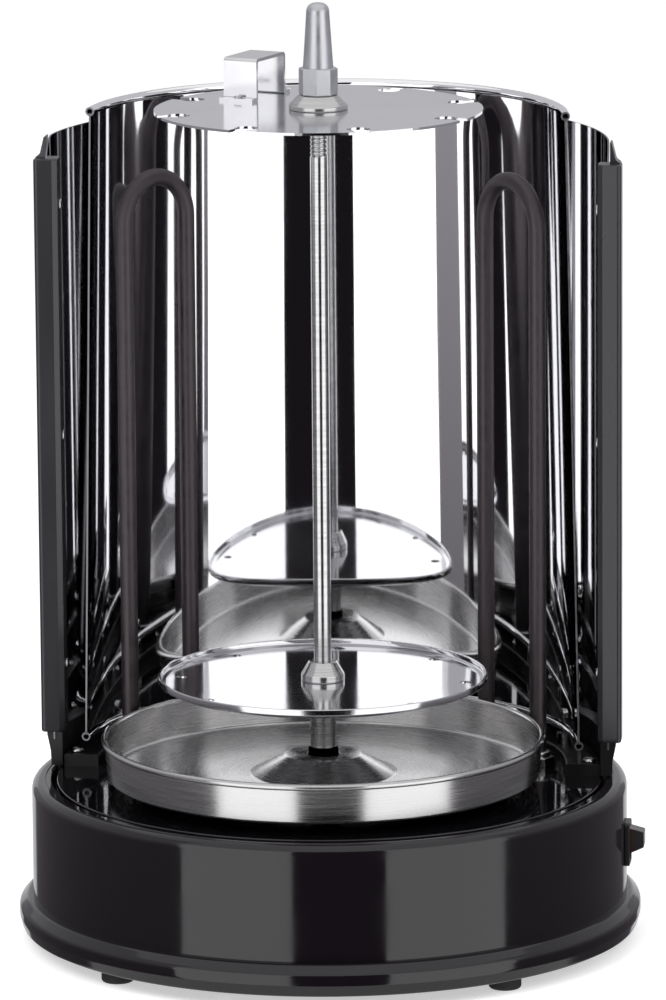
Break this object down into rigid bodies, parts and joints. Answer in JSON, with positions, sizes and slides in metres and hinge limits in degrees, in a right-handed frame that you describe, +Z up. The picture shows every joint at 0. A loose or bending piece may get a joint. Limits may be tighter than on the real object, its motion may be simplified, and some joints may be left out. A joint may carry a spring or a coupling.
{
  "type": "vertical electric skewer grill",
  "caption": "Table-top vertical kebab grill: round base, turning spit, drip pan, curved reflector, two upright heating elements and two swinging guard doors.",
  "frame": {"origin": "on the table under the middle of the round base", "axes": "+Z up, front of the grill towards -Y, switch on the +X side"},
  "size_m": [0.2922, 0.29, 0.4398],
  "materials": {
    "base_plastic": "high-gloss injection-moulded",
    "rubber_feet": "matt moulded",
    "black_enamel": "gloss black enamel",
    "polished_steel": "mirror-polished stainless",
    "brushed_pan_steel": "circular brushed stainless",
    "bright_steel": "bright rolled stainless",
    "turned_steel": "turned",
    "cast_aluminium": "satin",
    "element_sheath": "matt oxidised sheath",
    "handle_plastic": "fine-textured moulding",
    "black_coated_steel": "black coated",
    "zinc_steel": "zinc plated",
    "grey_plastic": "moulded",
    "switch_plastic": "moulded",
    "rocker_plastic": "smoky moulded",
    "brass_parts": "stamped",
    "ceramic_parts": "fired"
  },
  "bodies": {
    "base": {"foot_ring": "base_plastic", "foot_front_left": "rubber_feet", "foot_front_right": "rubber_feet", "foot_rear_left": "rubber_feet", "foot_rear_right": "rubber_feet", "bottom_cover": "zinc_steel", "bottom_screws": "zinc_steel", "base_wall": "base_plastic", "top_rim": "base_plastic", "deck_plate": "black_enamel", "drive_bush": "grey_plastic", "motor_posts": "zinc_steel", "motor_bracket": "zinc_steel", "motor_screws": "zinc_steel", "gearbox_case": "grey_plastic", "motor_can": "zinc_steel", "switch_bezel": "switch_plastic", "switch_terminals": "brass_parts", "cord_inlet": "switch_plastic", "terminal_block": "ceramic_parts", "thermal_cutout": "ceramic_parts", "right_element": "element_sheath", "left_element": "element_sheath", "element_glands": "zinc_steel", "element_terminals": "zinc_steel", "reflector_carrier": "black_coated_steel", "carrier_screws": "zinc_steel", "reflector_spacers": "black_coated_steel", "reflector_screws": "zinc_steel", "reflector": "polished_steel"},
    "drive": {"drive_shaft": "turned_steel", "drive_socket": "turned_steel"},
    "spit": {"spit_shaft": "turned_steel", "meat_plate": "bright_steel", "plate_hub": "turned_steel", "skewer_disc": "bright_steel", "lift_bracket": "bright_steel", "bracket_rivets": "zinc_steel", "disc_washer": "bright_steel", "lock_nut": "turned_steel"},
    "spike": {"spike_handle": "cast_aluminium"},
    "pan": {"drip_pan": "brushed_pan_steel"},
    "rocker": {"rocker_key": "rocker_plastic"},
    "right_door": {"right_door_sheet": "polished_steel", "right_door_handle": "handle_plastic", "right_door_runner": "handle_plastic", "right_door_screws": "zinc_steel"},
    "left_door": {"left_door_sheet": "polished_steel", "left_door_handle": "handle_plastic", "left_door_runner": "handle_plastic", "left_door_screws": "zinc_steel"}
  },
  "joints": [
    {"name": "spit_spin", "type": "hinge", "parent": "base", "child": "drive", "pos_m": [0, -0.022, 0.09], "axis": [0, 0, 1], "continuous": true},
    {"name": "spit_lift", "type": "slide", "parent": "drive", "child": "spit", "axis": [0, 0, 1], "range_m": [0, 0.32]},
    {"name": "spike_turn", "type": "hinge", "parent": "spit", "child": "spike", "pos_m": [0, -0.022, 0.405], "axis": [0, 0, 1], "continuous": true},
    {"name": "pan_lift", "type": "slide", "parent": "base", "child": "pan", "axis": [0, 0, 1], "range_m": [0, 0.018]},
    {"name": "right_door_swing", "type": "hinge", "parent": "base", "child": "right_door", "pos_m": [0, 0, 0.09], "axis": [0, 0, -1], "range_deg": [0, 87.5]},
    {"name": "left_door_swing", "type": "hinge", "parent": "base", "child": "left_door", "pos_m": [0, 0, 0.09], "axis": [0, 0, 1], "range_deg": [0, 87.5]},
    {"name": "power_switch", "type": "hinge", "parent": "base", "child": "rocker", "pos_m": [0.1377, 0, 0.04569], "axis": [0, -1, 0], "range_deg": [0, 20]}
  ]
}
